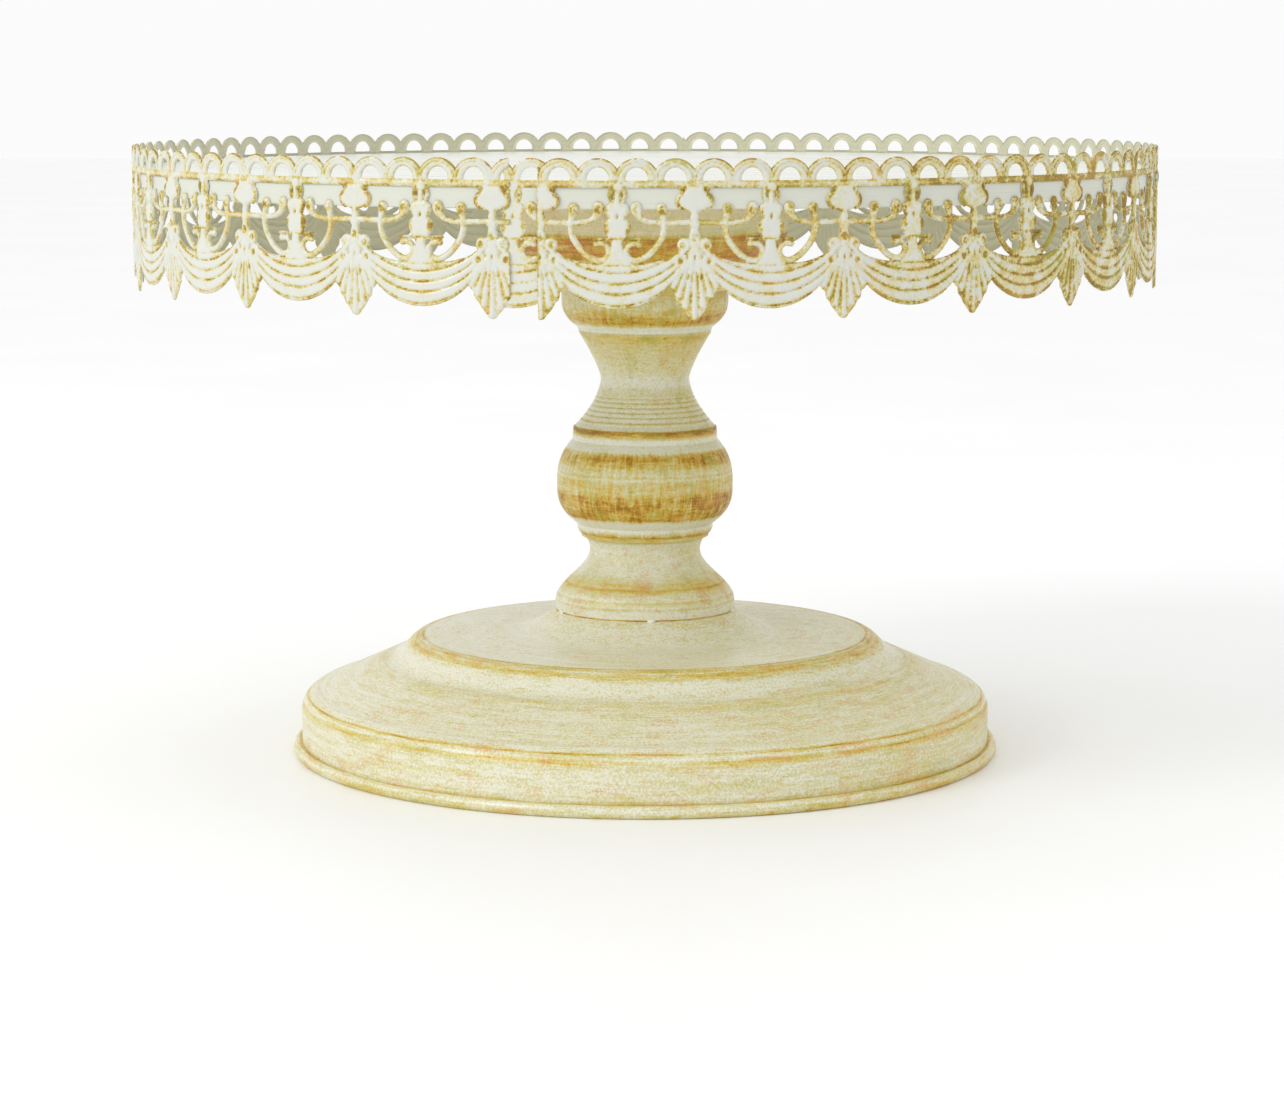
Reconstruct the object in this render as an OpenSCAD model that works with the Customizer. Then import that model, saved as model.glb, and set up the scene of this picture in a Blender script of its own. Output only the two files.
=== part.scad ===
// Pedestal cake stand: a round spun plate with a pierced lace band, on a turned stem and a
// stepped spun base. The origin is the middle of the base's underside, and +Z is up.
// Azimuths are measured from the front (-Y) and grow towards the right (+X).

/* [Plate] */
// Height of the plate's top face
plate_top = 177; // [150:1:260]
// Outer radius of the plate's turned-down flange
plate_r = 151.3; // [140:0.1:180]
// Sheet thickness of the plate
plate_sheet = 1; // [0.8:0.1:2]
// Depth of the flange below the plate's top face
flange_depth = 6.7; // [5:0.1:9]

/* [Lace band] */
// Sheet thickness of the lace
lace_sheet = 0.6; // [0.4:0.1:1]
// How far the scallops stand above the plate
gallery = 6.5; // [5:0.1:9]
// Height of the whole band, from leaf tip to scallop
lace_h = 42; // [40:0.1:44]
// Length of one pattern repeat
pitch = 40.19; // [39.5:0.01:41]
// Azimuth where the right strip starts
right_cut = -10.56; // [-11:0.01:-10]
// Azimuth where the left strip starts
left_cut = -13.36; // [-14:0.01:-13]
// Azimuth of the right strip's first vase
right_vase = 12.35; // [12:0.01:13]
// Azimuth of the left strip's first vase
left_vase = -22.7; // [-23:0.01:-22]
// Azimuth of the vase on the front patch
patch_vase = -13.1; // [-13.6:0.1:-12.6]

/* [Base] */
// Outer radius of the rolled hem
hem_r = 107.3; // [100:0.1:125]
// Thickness of the rolled hem
hem_d = 3.8; // [3:0.1:5]
// Height of the seat that the stem stands on
seat_z = 42.6; // [40:0.1:46]
// Sheet thickness of the base
base_sheet = 1; // [0.8:0.1:1.2]

/* [Stem] */
// Sheet thickness of the stem sections and the bowl
stem_sheet = 1.2; // [1:0.1:1.5]
// Outer radius of the bowl under the plate
bowl_r = 43; // [40:0.1:60]
// Diameter of the tie rod
rod_d = 8; // [6:1:10]

/* [Hidden] */
$fn = 96;

cream = "#dfdfd0";
ochre = "#b59a52";
steel = "#8d9194";
white = "#e9eae6";

// Heights of the joints between the stem sections
bulb_z = 66.5;
neck_z = 98.4;
cup_z = 127.7;
bowl_z = 139.5;
plate_under = plate_top - plate_sheet;

// Lace: radii of its sheet, its bottom and its pattern pitch
patch_r = plate_r + lace_sheet;
lace_r = patch_r + lace_sheet;
lace_top = plate_top + gallery;
lace_z = lace_top - lace_h;
step = pitch / lace_r * 180 / PI;

// Azimuths where the strips end at the rear
right_end = 175.04;
left_end = 175.06;

rod_hole = rod_d / 2 + 0.5;

// ---- outlines ----------------------------------------------------------------

// How far a curve has gone at fraction t: "in" starts flat, "out" ends flat, "s" does both
function eased(kind, p, t) =
    kind == "in" ? pow(t, p) : kind == "out" ? 1 - pow(1 - t, p) : kind == "s" ? (1 - cos(180 * t)) / 2 : t;

// Points along keys of [radius, height, curve to the next key, its power]
function turned(keys, n = 10) = concat(
    [for (i = [0:len(keys) - 2])
        let (a = keys[i], b = keys[i + 1], steps = a[2] == undef ? 1 : n)
        for (s = [0:steps - 1])
            let (t = s / steps)
            [a[0] + (b[0] - a[0]) * eased(a[2], a[3], t), a[1] + (b[1] - a[1]) * t]],
    [[keys[len(keys) - 1][0], keys[len(keys) - 1][1]]]
);

// The path moved sideways by d, to the right of its direction
function beside(path, d) = [
    for (i = [0:len(path) - 1])
        let (a = path[max(i - 1, 0)], b = path[min(i + 1, len(path) - 1)], u = (b - a) / norm(b - a))
        path[i] + d * [u[1], -u[0]]
];

function reversed(path) = [for (i = [len(path) - 1:-1:0]) path[i]];

// ---- helpers -----------------------------------------------------------------

// Turns a piece built at the front to an azimuth
module facing(azimuth) {
    rotate([0, 0, azimuth]) children();
}

// A bar along the radius at the front, from radius r0 to r1, with the outline of its 2D children
module radial(r0, r1) {
    translate([0, -r0, 0]) rotate([90, 0, 0]) linear_extrude(r1 - r0) children();
}

// Part of a ring, between two azimuths
module ring(r0, r1, z0, z1, from, to) {
    rotate_extrude(start = from - 90, angle = to - from, $fn = 360)
        translate([r0, z0]) square([r1 - r0, z1 - z0]);
}

module tube(r0, r1, h) {
    difference() {
        cylinder(r = r1, h = h);
        translate([0, 0, -1]) cylinder(r = r0, h = h + 2);
    }
}

// A spun section: a shell round its outline with a flat lip at each end, holed for the rod
module spun_section(keys) {
    outer = turned(keys);
    z0 = keys[0][1];
    z1 = keys[len(keys) - 1][1];
    inner = [for (q = outer) if (q[1] > z0 + stem_sheet && q[1] < z1 - stem_sheet) q - [stem_sheet, 0]];
    first = inner[0][0];
    last = inner[len(inner) - 1][0];
    rotate_extrude() polygon(concat(
        [[rod_hole, z0]], outer,
        [[rod_hole, z1], [rod_hole, z1 - stem_sheet], [last, z1 - stem_sheet]], reversed(inner),
        [[first, z0 + stem_sheet], [rod_hole, z0 + stem_sheet]]
    ));
}

// ---- base --------------------------------------------------------------------

foot_r = 27.3;
skirt_r = hem_r - 2.6;
hem_z = hem_d / 2 - 0.1;
hem_mid = hem_r - hem_d / 2;

// Outer face of the base from the seat down to the hem
base_keys = [
    [foot_r, seat_z], [30.3, 40.4, "out", 1.8], [41, 36], [67, 35.3, "in", 2.2], [72.2, 32.6], [75, 30, "out", 1.8],
    [80, 27.6], [99.2, 19.1, "in", 2], [103.9, 16.2], [skirt_r, 14], [skirt_r, hem_z]
];

// Steps along radius here, so the keys' axes are swapped before and after the curve
function flipped(path) = [for (q = path) len(q) > 2 ? [q[1], q[0], q[2], q[3]] : [q[1], q[0]]];

function base_outline() = flipped(turned(flipped(base_keys), 8));

module base_shell() {
    outer = base_outline();
    inner = [for (q = beside(outer, base_sheet)) if (q[1] > hem_z && q[1] < seat_z - base_sheet) q];
    seat = [[rod_hole, seat_z - base_sheet], [rod_hole, seat_z]];
    end = [skirt_r - base_sheet, hem_z];
    color(cream) difference() {
        union() {
            rotate_extrude() polygon(concat(seat, outer, [end], reversed(inner)));
            rotate_extrude() translate([hem_mid, hem_z]) circle(d = hem_d);
        }
        rotate_extrude() translate([hem_mid, hem_z]) circle(d = hem_d - 2 * base_sheet);
        translate([0, 0, -hem_d]) cylinder(r = hem_r + 1, h = hem_d);
    }
}

module hem_wire() {
    color(steel) rotate_extrude() translate([hem_mid, hem_z]) circle(d = hem_d - 2 * base_sheet);
}

// ---- stem --------------------------------------------------------------------

module stem_foot() {
    color(cream) spun_section([
        [foot_r, seat_z], [foot_r, 45.4, "s"], [16.8, 61, "in", 2], [18, 64.6], [19.3, 65.2], [19.6, bulb_z]
    ]);
}

module stem_bulb() {
    color(ochre) spun_section([
        [20, bulb_z], [20.6, 67.6], [20.6, 69, "out", 2.5], [26.7, 80], [26.7, 82, "in", 2.4], [22, 94.6],
        [21.7, neck_z]
    ]);
}

module stem_neck() {
    color(cream) spun_section([
        [21.5, neck_z, "out", 1.7], [13.4, 113.2, "in", 1.3], [20, 127], [20, cup_z]
    ]);
}

module stem_cup() {
    color(ochre) spun_section([[20.2, cup_z], [20.4, 128.6, "out", 2.5], [25.2, 137], [25.2, bowl_z]]);
}

module bowl() {
    outer = turned([[bowl_r, plate_under], [bowl_r, 158, "in", 2], [38.8, 149.7, "in", 1.6], [25.2, bowl_z]]);
    inner = [for (q = beside(outer, stem_sheet)) if (q[1] > bowl_z + stem_sheet) q];
    color(ochre) rotate_extrude() polygon(concat(
        outer, [[rod_hole, bowl_z], [rod_hole, bowl_z + stem_sheet]], reversed(inner)
    ));
}

// ---- fasteners inside the stand ------------------------------------------------

washer_r = 15;
washer_h = 2;
spring_h = 1.8;
nut_h = 6.5;
nut_af = 13;
boss_disc_r = 30;
boss_disc_h = 2;
boss_r = 9;
boss_h = 16;
under_seat = seat_z - base_sheet;
nut_top = under_seat - washer_h - spring_h;
rod_end = nut_top - nut_h - 3;
rod_top = plate_under - 3;

module foot_welds() {
    collar_h = 8;
    collar_r = foot_r + collar_h * (base_keys[1][0] - foot_r) / (seat_z - base_keys[1][1]);
    for (azimuth = [4:72:292])
        color(cream) facing(azimuth) difference() {
            translate([0, -foot_r, seat_z]) sphere(r = 1.5);
            cylinder(r = foot_r, h = bulb_z);
            translate([0, 0, seat_z - collar_h]) cylinder(r1 = collar_r, r2 = foot_r, h = collar_h);
        }
}

module tie_rod() {
    color(steel) translate([0, 0, rod_end]) cylinder(d = rod_d, h = rod_top - rod_end);
}

module base_washer() {
    color(steel) translate([0, 0, nut_top + spring_h]) tube(rod_d / 2 + 0.2, washer_r, washer_h);
}

module spring_washer() {
    color(steel) translate([0, 0, nut_top]) difference() {
        tube(rod_d / 2 + 0.2, 7.4, spring_h);
        translate([3, -0.5, -1]) cube([6, 1, spring_h + 2]);
    }
}

module base_nut() {
    color(steel) translate([0, 0, nut_top - nut_h]) difference() {
        cylinder(r = nut_af / sqrt(3), h = nut_h, $fn = 6);
        translate([0, 0, -1]) cylinder(d = rod_d, h = nut_h + 2);
    }
}

// ---- plate -------------------------------------------------------------------

edge_round = 1.6;

module plate() {
    flange = plate_top - flange_depth;
    color(white) difference() {
        rotate_extrude($fn = 360) polygon(concat(
            [[0, plate_top]],
            turned([[plate_r - edge_round, plate_top, "out", 2], [plate_r, plate_top - edge_round]], 6),
            [[plate_r, flange], [plate_r - plate_sheet, flange], [plate_r - plate_sheet, plate_under - 0.8],
             [plate_r - plate_sheet - 0.8, plate_under], [0, plate_under]]
        ));
        lace_rivet_holes();
    }
}

module plate_boss() {
    color(steel) difference() {
        union() {
            translate([0, 0, plate_under - boss_disc_h]) cylinder(r = boss_disc_r, h = boss_disc_h);
            translate([0, 0, plate_under - boss_h]) cylinder(r = boss_r, h = boss_h);
        }
        translate([0, 0, plate_under - boss_h - 1]) cylinder(d = rod_d, h = boss_h - 2);
    }
}

// ---- lace --------------------------------------------------------------------
// The pattern is flat here: x runs round the band from the vase, y rises from the leaf tips.

half = pitch / 2;
scallop = pitch / 4;
scallop_r = 5.95;
hole_r = 2.9;
ridge_y = lace_h - 7.8;
hole_y = lace_h - 5.3;
rod_y = lace_h - 16.3;
tray_y = lace_h - 20.8;
swag_bottom_r = 18.6;
swag_top_r = 31.8;
swag_bottom_y = 3.1;
swag_top_y = lace_h - 28.3;
wire = 1.5;

module mirrored() {
    children();
    mirror([1, 0]) children();
}

module disc(x, y, r) {
    translate([x, y]) circle(r = r);
}

// A bent wire: part of a ring between two angles
module bend(x, y, r, from, to) {
    mid = (from + to) / 2;
    reach = 2 * r;
    translate([x, y]) intersection() {
        difference() {
            circle(r = r + wire / 2);
            circle(r = r - wire / 2);
        }
        polygon([[0, 0], for (a = [from, mid, to]) reach * [cos(a), sin(a)]]);
    }
}

// A straight wire between two points
module bar(p, q, w = wire) {
    u = (q - p) / norm(q - p);
    side = w / 2 * [-u[1], u[0]];
    polygon([p + side, q + side, q - side, p - side]);
}

module urn() {
    disc(-2.5, ridge_y - 2.3, 2.5);
    disc(2.5, ridge_y - 2.3, 2.5);
    translate([-4.2, ridge_y - 1.5]) square([8.4, 3]);
    disc(0, ridge_y - 4.2, 1.8);
}

module leaf() {
    mirrored() polygon([
        [-0.1, 22.4], [0.9, 22.6], [3.2, 22.9], [4.7, 20.6], [4.2, 18.4], [5.6, 16.4], [6.4, 12],
        [6.9, 8.6], [5.9, 7.6], [5.2, 5.6], [3.9, 3.2], [2, 0.9], [0.6, -0.1], [-0.1, -0.1]
    ]);
}

module drop() {
    urn();
    translate([-0.9, 20]) square([1.8, ridge_y - 20]);
    disc(0, 24.6, 1.5);
    leaf();
}

module swag() {
    difference() {
        disc(0, swag_bottom_y + swag_bottom_r, swag_bottom_r);
        disc(0, swag_top_y + swag_top_r, swag_top_r);
    }
}

module vase() {
    translate([-1, ridge_y - 2]) square([2, 3]);
    disc(0, ridge_y - 2.4, 1.9);
    mirrored() polygon([
        [-0.1, ridge_y - 3], [1.4, ridge_y - 3.6], [3, ridge_y - 5], [3.1, ridge_y - 7.5], [4.6, ridge_y - 9.4],
        [4.2, ridge_y - 11.2], [1.9, ridge_y - 12.2], [2.4, tray_y], [-0.1, tray_y]
    ]);
    translate([-6.2, tray_y - 0.6]) square([12.4, 1.2]);
    mirrored() disc(5.6, tray_y - 1.1, 0.9);
    mirrored() polygon([
        [-0.1, tray_y], [1.2, tray_y], [1.2, swag_top_y + 4.2], [2.2, swag_top_y + 1.8], [4.6, swag_top_y - 0.4],
        [-0.1, swag_top_y - 1]
    ]);
}

module arm() {
    bend(0, rod_y + 0.2, 12.2, -46, 12);
    disc(11.9, rod_y + 2.8, 1.2);
    bar([8.6, rod_y - 8.5], [4.5, rod_y - 10.9]);
    bend(4.2, rod_y - 8.7, 2.3, 90, 270);
    disc(4.4, rod_y - 6.4, 0.9);
    bar([half, rod_y], [8, rod_y], 1.2);
    bar([8.1, rod_y], [5, rod_y + 2.4], 1.2);
    disc(4.3, rod_y + 3.2, 1.5);
}

module lace_pattern() {
    swag();
    vase();
    mirrored() arm();
    mirrored() translate([half, 0]) drop();
}

// Everything cut out of one repeat of the sheet
module lace_openings() {
    difference() {
        translate([-half, -1]) square([pitch, ridge_y + 1]);
        lace_pattern();
    }
    for (i = [-1.5:1.5])
        translate([i * scallop, hole_y]) intersection() {
            circle(r = hole_r);
            translate([-hole_r, 0]) square(2 * hole_r);
        }
    for (i = [-1.5:0.5])
        translate([i * scallop + scallop / 2, 0]) scallop_notch();
    translate([half, 0]) scallop_notch();
}

module scallop_notch() {
    mid_y = lace_h - scallop_r + 0.02;
    difference() {
        translate([-scallop / 2, mid_y]) square([scallop, scallop_r + 1]);
        disc(-scallop / 2, mid_y, scallop_r);
        disc(scallop / 2, mid_y, scallop_r);
    }
}

// A strip of lace between two azimuths, with vases every step from the azimuth of one
module lace(r0, from, to, vase_at) {
    first = floor((from - vase_at) / step);
    last = ceil((to - vase_at) / step);
    difference() {
        ring(r0, r0 + lace_sheet, lace_z, lace_top, from, to);
        for (i = [first:last])
            facing(vase_at + i * step)
                translate([0, 0, lace_z]) radial(r0 - 2, r0 + 3) lace_openings();
        lace_rivet_holes();
    }
}

rivet_azimuths = [87.35, -97.7];
rivet_r = 1.6;
rivet_z = plate_top - flange_depth / 2;

// Behind the drops, where the lace is widest
tack_azimuths = [
    for (i = [0:2:10]) right_vase + (i + 0.5) * step,
    for (i = [0:2:10]) left_vase - (i + 0.5) * step
];

module lace_rivet_holes() {
    for (azimuth = rivet_azimuths)
        facing(azimuth) translate([0, 0, rivet_z]) radial(plate_r - 5, lace_r + 5) circle(r = rivet_r);
}

module lace_strip_right() {
    color(cream) lace(patch_r, right_cut, right_end, right_vase);
}

module lace_strip_left() {
    color(cream) lace(patch_r, left_end - 360, left_cut, left_vase);
}

// Bridges the two cuts and shows in the gap between them
module lace_patch_front() {
    color(cream) lace(plate_r, left_cut - 1.04, right_cut + 1.06, patch_vase);
}

// A plain strap behind the butt joint of the two strips
module lace_joint_strap() {
    middle = (right_end + left_end) / 2;
    color(cream) ring(plate_r, patch_r, plate_top - 6, plate_top - 1, middle - 2.6, middle + 2.6);
}

module lace_rivets() {
    color(steel) for (azimuth = rivet_azimuths)
        facing(azimuth) translate([0, 0, rivet_z]) difference() {
            union() {
                radial(plate_r - 2.2, plate_r + 1.8) circle(r = rivet_r);
                radial(lace_r, lace_r + 0.6) circle(r = 2.8);
                radial(plate_r - 2.2, plate_r - 1) circle(r = 2.4);
            }
            radial(plate_r - 5, lace_r + 5) circle(r = 0.8);
        }
}

module lace_tacks() {
    color(cream) intersection() {
        ring(plate_r, patch_r, plate_top - 6, plate_top - 2, -180, 180);
        for (azimuth = tack_azimuths)
            facing(azimuth) translate([0, 0, plate_top - 4]) radial(plate_r - 2, patch_r + 2) circle(r = 1.8);
    }
}

base_shell();
hem_wire();
stem_foot();
stem_bulb();
stem_neck();
stem_cup();
bowl();
foot_welds();
tie_rod();
base_washer();
spring_washer();
base_nut();
plate();
plate_boss();
lace_strip_right();
lace_strip_left();
lace_patch_front();
lace_joint_strap();
lace_rivets();
lace_tacks();
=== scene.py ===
"""Looks of a pedestal cake stand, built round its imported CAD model.

Shapes are worked out in millimetres and turned into metres when a mesh is made. Azimuths are in degrees
from the front (-Y) and grow towards the right (+X), as in the CAD model.
"""

import math

import bpy
import numpy as np
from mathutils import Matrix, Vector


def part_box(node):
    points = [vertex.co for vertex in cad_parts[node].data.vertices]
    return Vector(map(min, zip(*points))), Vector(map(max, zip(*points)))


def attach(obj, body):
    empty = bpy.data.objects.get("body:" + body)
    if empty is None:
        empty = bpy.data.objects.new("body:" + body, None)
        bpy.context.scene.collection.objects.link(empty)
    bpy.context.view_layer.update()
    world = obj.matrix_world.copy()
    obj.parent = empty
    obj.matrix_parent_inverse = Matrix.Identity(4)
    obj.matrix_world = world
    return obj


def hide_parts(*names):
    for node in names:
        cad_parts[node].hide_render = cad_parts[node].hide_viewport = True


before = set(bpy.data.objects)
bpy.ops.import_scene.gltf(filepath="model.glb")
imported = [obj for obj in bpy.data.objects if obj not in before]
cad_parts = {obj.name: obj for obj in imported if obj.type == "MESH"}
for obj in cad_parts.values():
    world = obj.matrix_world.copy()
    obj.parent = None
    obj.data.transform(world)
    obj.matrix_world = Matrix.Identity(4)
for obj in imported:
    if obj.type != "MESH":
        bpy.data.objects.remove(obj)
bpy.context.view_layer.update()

MM = 0.001


def box_mm(node):
    """Lowest and highest corner of a CAD node, in millimetres."""
    low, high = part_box(node)
    return np.array(low) / MM, np.array(high) / MM


# ---- camera -----------------------------------------------------------------

CAMERA_DISTANCE = 1.0503
CAMERA_HEIGHT = 0.21
CAMERA_PITCH = 8.274
CAMERA_LENS = 97.6
AXIS_OFFSET = 0.0009  # the stand stands a little right of the middle


def make_camera():
    data = bpy.data.cameras.new("camera")
    data.lens = CAMERA_LENS
    data.sensor_width = 36
    camera = bpy.data.objects.new("camera", data)
    camera.location = (-AXIS_OFFSET, -CAMERA_DISTANCE, CAMERA_HEIGHT)
    camera.rotation_euler = (math.radians(90 - CAMERA_PITCH), 0, 0)
    bpy.context.collection.objects.link(camera)
    bpy.context.scene.camera = camera


make_camera()

# ---- sizes read from the CAD model -------------------------------------------

HEM_R = box_mm("base_shell")[1][1]
SEAT_Z = box_mm("base_shell")[1][2]
BULB_Z = box_mm("stem_bulb")[0][2]
NECK_Z = box_mm("stem_neck")[0][2]
CUP_Z = box_mm("stem_cup")[0][2]
BOWL_Z = box_mm("bowl")[0][2]
BOWL_R = box_mm("bowl")[1][1]
PLATE_R = box_mm("plate")[1][1]
PLATE_Z = box_mm("plate")[1][2]
FLANGE_Z = box_mm("plate")[0][2]
LACE_R = -box_mm("lace_strip_right")[0][1]
LACE_TOP = box_mm("lace_strip_right")[1][2]
LACE_FOOT = box_mm("lace_strip_right")[0][2]
FOOT_R = 27.3  # the stem's foot where it stands on the base
SHEET = 1.2  # the sheet of the stem and the bowl
PLATE_SHEET = 1.0
ROD_HOLE = 4.5  # radius of the hole for the tie rod


# ---- meshes ------------------------------------------------------------------

def eased(kind, power, t):
    """How far a curve has gone at fraction t: "in" starts flat, "out" ends flat, "s" does both."""
    if kind == "in":
        return t ** power
    if kind == "out":
        return 1 - (1 - t) ** power
    if kind == "s":
        return (1 - math.cos(math.pi * t)) / 2
    return t


def turned(keys, steps=24):
    """Points along keys of (radius, height, curve to the next key, its power)."""
    points = []
    for a, b in zip(keys, keys[1:]):
        kind = a[2] if len(a) > 2 else None
        power = a[3] if len(a) > 3 else 1
        count = steps if kind else 1
        for i in range(count):
            t = i / count
            points.append((a[0] + (b[0] - a[0]) * eased(kind, power, t), a[1] + (b[1] - a[1]) * t))
    points.append(keys[-1][:2])
    return points


def swapped(path):
    return [(q[1], q[0]) + tuple(q[2:]) for q in path]


def dense(path, gap):
    """The path with extra points, so that no two are further apart than gap."""
    out = [path[0]]
    for a, b in zip(path, path[1:]):
        count = max(1, math.ceil(math.dist(a, b) / gap))
        out += [(a[0] + (b[0] - a[0]) * i / count, a[1] + (b[1] - a[1]) * i / count)
                for i in range(1, count + 1)]
    return out


def beside(path, distance):
    """The path moved sideways, to the right of its direction."""
    p = np.array(path, float)
    along = np.gradient(p, axis=0)
    along /= np.linalg.norm(along, axis=1)[:, None]
    return [tuple(q) for q in p + distance * np.stack([along[:, 1], -along[:, 0]], 1)]


def new_object(name, points, faces, smooth_angle=35):
    """A mesh object from points in millimetres."""
    mesh = bpy.data.meshes.new(name)
    mesh.from_pydata((np.asarray(points) * MM).tolist(), [], faces)
    mesh.polygons.foreach_set("use_smooth", [True] * len(mesh.polygons))
    mesh.set_sharp_from_angle(angle=math.radians(smooth_angle))
    piece = bpy.data.objects.new(name, mesh)
    bpy.context.collection.objects.link(piece)
    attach(piece, "root")
    return piece


def ring_points(outline, segments):
    """A closed outline of (radius, height) turned round the axis: points and quads."""
    outline = np.array(outline, float)
    angle = np.linspace(0, 2 * np.pi, segments, endpoint=False)
    r, z = outline[:, 0], outline[:, 1]
    x = np.sin(angle)[:, None] * r
    y = -np.cos(angle)[:, None] * r
    points = np.stack([x, y, np.broadcast_to(z, x.shape)], -1).reshape(-1, 3)
    n = len(outline)
    i, j = np.meshgrid(np.arange(segments), np.arange(n), indexing="ij")
    k, m = (i + 1) % segments, (j + 1) % n
    quads = np.stack([i * n + j, i * n + m, k * n + m, k * n + j], -1).reshape(-1, 4)
    return points, quads


def lathe(name, outline, segments=240, wobble=0.0):
    """A turned piece from a closed outline, with a slight unevenness of the spun sheet."""
    points, quads = ring_points(outline, segments)
    if wobble:
        angle = np.arctan2(points[:, 0], -points[:, 1])
        z = points[:, 2]
        wave = np.sin(3 * angle + z / 9) + 0.6 * np.sin(5 * angle - z / 6 + 1.7)
        wave += 0.4 * np.sin(8 * angle + z / 4)
        radius = np.hypot(points[:, 0], points[:, 1])
        shrink = 1 - wobble * (1 + wave / 2) / np.maximum(radius, 5) * 0.5
        points[:, :2] *= shrink[:, None]
    return new_object(name, points, quads.tolist())


def spun_section(name, node, keys, grooves=None):
    """A hollow stem section with a flat lip at each end, in place of a CAD node."""
    z0, z1 = keys[0][1], keys[-1][1]
    outer = dense(turned(keys), 0.5)
    if grooves:
        outer = [(r - grooves(z), z) for r, z in outer]
    inner = [(r - SHEET, z) for r, z in outer if z0 + SHEET < z < z1 - SHEET]
    outline = [(ROD_HOLE, z0)] + outer + [(ROD_HOLE, z1), (ROD_HOLE, z1 - SHEET)]
    outline += [(inner[-1][0], z1 - SHEET)] + inner[::-1]
    outline += [(inner[0][0], z0 + SHEET), (ROD_HOLE, z0 + SHEET)]
    piece = lathe(name, outline, 200, 0.06)
    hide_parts(node)
    return piece


# ---- shaders -----------------------------------------------------------------

def srgb(r, g, b):
    """A colour given as it looks on a screen, 0 to 255, as linear numbers."""
    def lin(c):
        c /= 255
        return c / 12.92 if c <= 0.04045 else ((c + 0.055) / 1.055) ** 2.4
    return (lin(r), lin(g), lin(b), 1)


class Shader:
    """A material with one Principled node, built up by short calls."""

    def __init__(self, name, **fixed):
        self.material = bpy.data.materials.new(name)
        self.material.use_nodes = True
        self.tree = self.material.node_tree
        self.main = self.tree.nodes["Principled BSDF"]
        for socket, value in fixed.items():
            self.main.inputs[socket.replace("_", " ")].default_value = value

    def node(self, kind, *inputs, **settings):
        """A node whose inputs are numbers, colours or other nodes' sockets, in order; None skips one."""
        new = self.tree.nodes.new("ShaderNode" + kind)
        for key, value in settings.items():
            setattr(new, key, value)
        for socket, value in zip(new.inputs, inputs):
            self.put(socket, value)
        return new

    def put(self, socket, value):
        if value is None:
            return
        if isinstance(value, bpy.types.NodeSocket):
            self.tree.links.new(value, socket)
        else:
            socket.default_value = value

    def math(self, operation, a, b=None, clamp=False):
        return self.node("Math", a, b, operation=operation, use_clamp=clamp).outputs[0]

    def vector(self, operation, a, b=None):
        return self.node("VectorMath", a, b, operation=operation).outputs[0]

    def noise(self, where, scale, detail=3.0, roughness=0.55):
        """Noise round 0.5. `where` is in metres, so scale counts per metre."""
        new = self.node("TexNoise")
        self.put(new.inputs["Vector"], where)
        self.put(new.inputs["Scale"], scale)
        self.put(new.inputs["Detail"], detail)
        self.put(new.inputs["Roughness"], roughness)
        return new.outputs["Fac"]

    def ramp(self, value, stops):
        """A colour ramp; a stop's colour is a grey number or an RGBA."""
        new = self.node("ValToRGB", value)
        elements = new.color_ramp.elements
        while len(elements) < len(stops):
            elements.new(0.5)
        for element, (at, colour) in zip(elements, stops):
            element.position = at
            element.color = colour if isinstance(colour, tuple) else (colour, colour, colour, 1)
        return new.outputs["Color"]

    def mix(self, factor, a, b):
        """Colour a where factor is 0, and b where it is 1."""
        new = self.tree.nodes.new("ShaderNodeMix")
        new.data_type = "RGBA"
        self.put(new.inputs["Factor"], factor)
        self.put(new.inputs[6], a)
        self.put(new.inputs[7], b)
        return new.outputs[2]

    def scaled(self, value, low, high, to_low=0.0, to_high=1.0):
        """value from low..high carried to to_low..to_high, clamped."""
        new = self.node("MapRange", value, low, high, to_low, to_high)
        new.clamp = True
        return new.outputs[0]

    def bump(self, height, distance, strength):
        new = self.node("Bump")
        self.put(new.inputs["Height"], height)
        self.put(new.inputs["Distance"], distance)
        self.put(new.inputs["Strength"], strength)
        return new.outputs["Normal"]

    def finish(self, colour=None, roughness=None, normal=None):
        self.put(self.main.inputs["Base Color"], colour)
        self.put(self.main.inputs["Roughness"], roughness)
        self.put(self.main.inputs["Normal"], normal)
        return self.material


CREAM = srgb(226, 225, 208)
WARM_CREAM = srgb(242, 214, 178)
STRAW = srgb(212, 206, 158)
GOLD = srgb(208, 186, 94)
OCHRE = srgb(196, 152, 36)
UMBER = srgb(150, 104, 6)
ORANGE = srgb(206, 148, 76)
RUST = srgb(186, 104, 34)
OLIVE = srgb(174, 166, 66)
OFF_WHITE = srgb(210, 211, 201)
INNER_WHITE = srgb(205, 203, 176)
FLANGE_WHITE = srgb(208, 210, 197)
PLATE_WHITES = [(0.25, srgb(212, 214, 203)), (0.5, srgb(222, 224, 215)), (0.75, srgb(226, 227, 217))]
LACE_GLAZES = [(0.03, OFF_WHITE), (0.26, srgb(210, 204, 160)), (0.58, srgb(200, 182, 106)),
               (0.9, srgb(178, 150, 54)), (1.0, srgb(146, 118, 36))]
LACE_OLIVE = srgb(172, 164, 66)
LACE_ORANGE = srgb(218, 172, 96)
# Near-black browns for the rivets: painted shade for their dark hollow centres.
RIVET_SHADE_BROWNS = [(0.3, srgb(44, 36, 18)), (0.6, srgb(78, 62, 28)), (0.8, srgb(120, 96, 44))]
STEEL_GREYS = [(0.3, srgb(150, 150, 148)), (0.6, srgb(186, 188, 188)), (0.8, srgb(196, 192, 176))]
PAPER_WHITES = [(0.3, srgb(250, 250, 250)), (0.7, srgb(253, 253, 253))]
FINE_BUMP = 0.00005  # metres
GLAZE_GRAIN, PORES = 1500.0, 420.0  # scales of noise


def geometry(shader):
    return shader.node("NewGeometry").outputs["Position"]


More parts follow.
